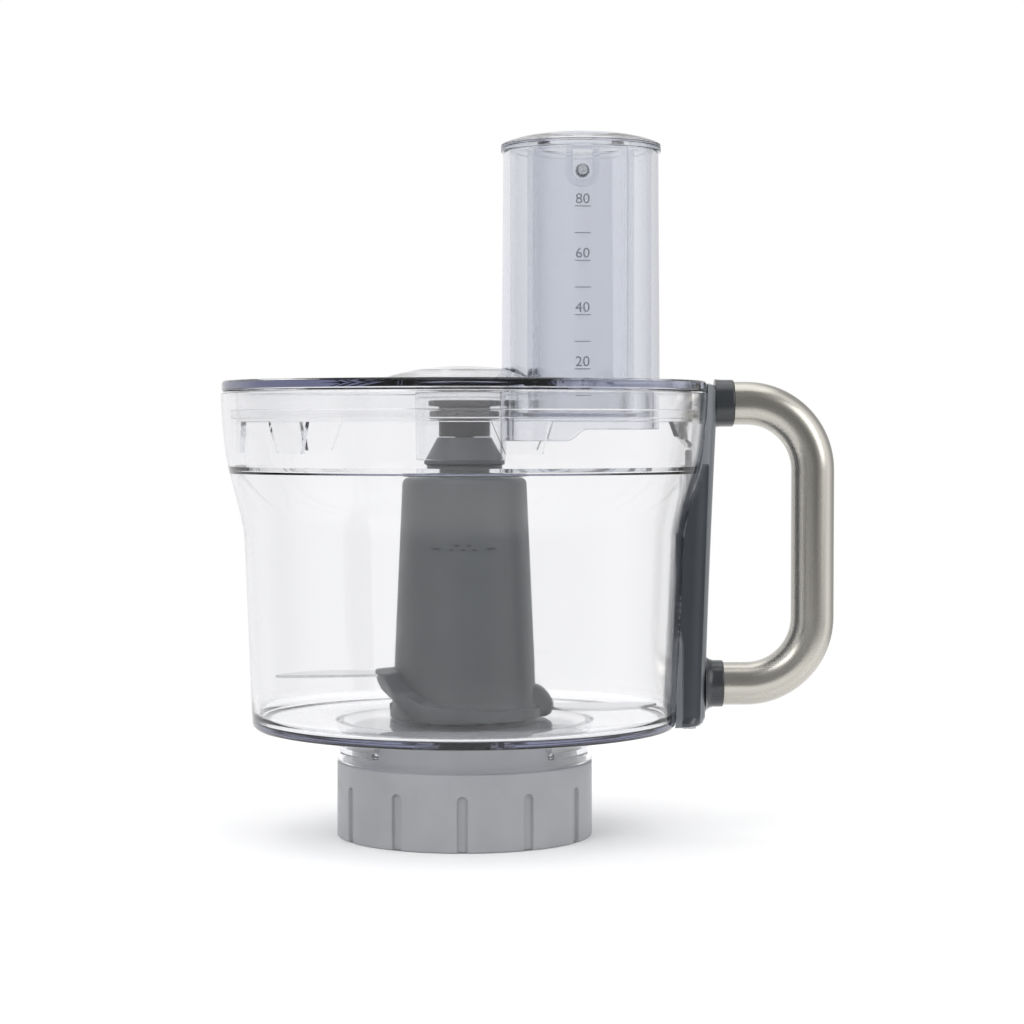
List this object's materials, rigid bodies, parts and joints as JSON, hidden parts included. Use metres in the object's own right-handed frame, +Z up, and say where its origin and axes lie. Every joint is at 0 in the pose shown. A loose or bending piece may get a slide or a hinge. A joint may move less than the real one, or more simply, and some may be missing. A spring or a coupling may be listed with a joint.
{
  "type": "food processor bowl attachment",
  "caption": "Clear food processor bowl on a fluted drive base, with knife, lid, feed tube, pushers and steel handle.",
  "frame": {"origin": "centre of the whole's plan box, on the surface that the drive base stands on", "axes": "+Z up along the bowl's axis, +X from the bowl towards the handle, +Y to the back"},
  "size_m": [0.2794, 0.2212, 0.32],
  "materials": {
    "clear_plastic": "clear polished, deep navy tint where it is seen edge on",
    "base_grey": "satin silver grey",
    "hub_grey": "fine satin",
    "column_grey": "semi-gloss dark grey",
    "black_plastic": "satin near black",
    "brushed_steel": "brushed along the tube",
    "bright_steel": "ground and polished",
    "gear_plastic": "moulded natural acetal",
    "bronze": "sintered",
    "seal_rubber": "translucent matt silicone"
  },
  "bodies": {
    "base": {"base_shell": "base_grey", "ring_gear": "gear_plastic", "gearbox_cover": "black_plastic", "input_bush": "bronze", "output_bush": "bronze", "shaft_seal": "seal_rubber", "thrust_washer": "bright_steel", "cover_screw_1": "bright_steel", "cover_screw_2": "bright_steel", "cover_screw_3": "bright_steel"},
    "input": {"input_shaft": "bright_steel", "drive_dog": "black_plastic", "sun_gear": "bright_steel"},
    "knife_drive": {"planet_carrier": "bright_steel", "planet_pin_1": "bright_steel", "planet_pin_2": "bright_steel", "planet_pin_3": "bright_steel", "output_shaft": "bright_steel", "drive_shaft": "black_plastic", "knife_hub": "hub_grey", "knife_blade_low": "bright_steel", "knife_blade_high": "bright_steel", "knife_cap": "black_plastic"},
    "planet_1": {"planet_gear_1": "gear_plastic"},
    "planet_2": {"planet_gear_2": "gear_plastic"},
    "planet_3": {"planet_gear_3": "gear_plastic"},
    "bowl": {"bowl": "clear_plastic", "handle_tube": "brushed_steel", "handle_socket_top": "column_grey", "handle_socket_bottom": "column_grey", "handle_cover": "column_grey", "handle_screw": "bright_steel", "column_screw": "bright_steel", "interlock_spring": "bright_steel"},
    "interlock": {"interlock_rod": "black_plastic"},
    "lid_ring": {"lid_seal": "seal_rubber"},
    "lid": {"lid": "clear_plastic", "feed_tube": "clear_plastic"},
    "pusher": {"pusher_body": "clear_plastic", "detent_ball": "bright_steel", "detent_spring": "bright_steel"},
    "small_pusher": {"small_pusher": "clear_plastic", "pusher_cap": "clear_plastic"}
  },
  "joints": [
    {"name": "bowl_twist", "type": "hinge", "parent": "base", "child": "bowl", "pos_m": [-0.02913, 0, 0.04], "axis": [0, 0, 1], "range_deg": [0, 30]},
    {"name": "knife_spin", "type": "hinge", "parent": "base", "child": "knife_drive", "pos_m": [-0.02913, 0, 0.04], "axis": [0, 0, 1], "continuous": true},
    {"name": "input_spin", "type": "hinge", "parent": "base", "child": "input", "pos_m": [-0.02913, 0, 0.02], "axis": [0, 0, 1], "continuous": true},
    {"name": "planet_1_spin", "type": "hinge", "parent": "knife_drive", "child": "planet_1", "pos_m": [-0.00213, 0, 0.022], "axis": [0, 0, 1], "continuous": true},
    {"name": "planet_2_spin", "type": "hinge", "parent": "knife_drive", "child": "planet_2", "pos_m": [-0.04263, 0.02338, 0.022], "axis": [0, 0, 1], "continuous": true},
    {"name": "planet_3_spin", "type": "hinge", "parent": "knife_drive", "child": "planet_3", "pos_m": [-0.04263, -0.02338, 0.022], "axis": [0, 0, 1], "continuous": true},
    {"name": "lid_lift", "type": "slide", "parent": "bowl", "child": "lid_ring", "axis": [0, 0, 1], "range_m": [0, 0.08]},
    {"name": "lid_twist", "type": "hinge", "parent": "lid_ring", "child": "lid", "pos_m": [-0.02913, 0, 0.2], "axis": [0, 0, 1], "range_deg": [0, 25]},
    {"name": "interlock_slide", "type": "slide", "parent": "bowl", "child": "interlock", "axis": [0, 0, 1], "range_m": [0, 0.005], "deforming": ["interlock_spring"]},
    {"name": "pusher_lift", "type": "slide", "parent": "lid", "child": "pusher", "axis": [0, 0, 1], "range_m": [0, 0.115]},
    {"name": "small_pusher_lift", "type": "slide", "parent": "pusher", "child": "small_pusher", "axis": [0, 0, 1], "range_m": [0, 0.115]}
  ],
  "couplings": [
    {"joint": "input_spin", "follows": "knife_spin", "ratio": 4},
    {"joint": "planet_1_spin", "follows": "knife_spin", "ratio": -3},
    {"joint": "planet_2_spin", "follows": "knife_spin", "ratio": -3},
    {"joint": "planet_3_spin", "follows": "knife_spin", "ratio": -3},
    {"joint": "interlock_slide", "follows": "lid_twist", "m_per_rad": 0.011459}
  ]
}
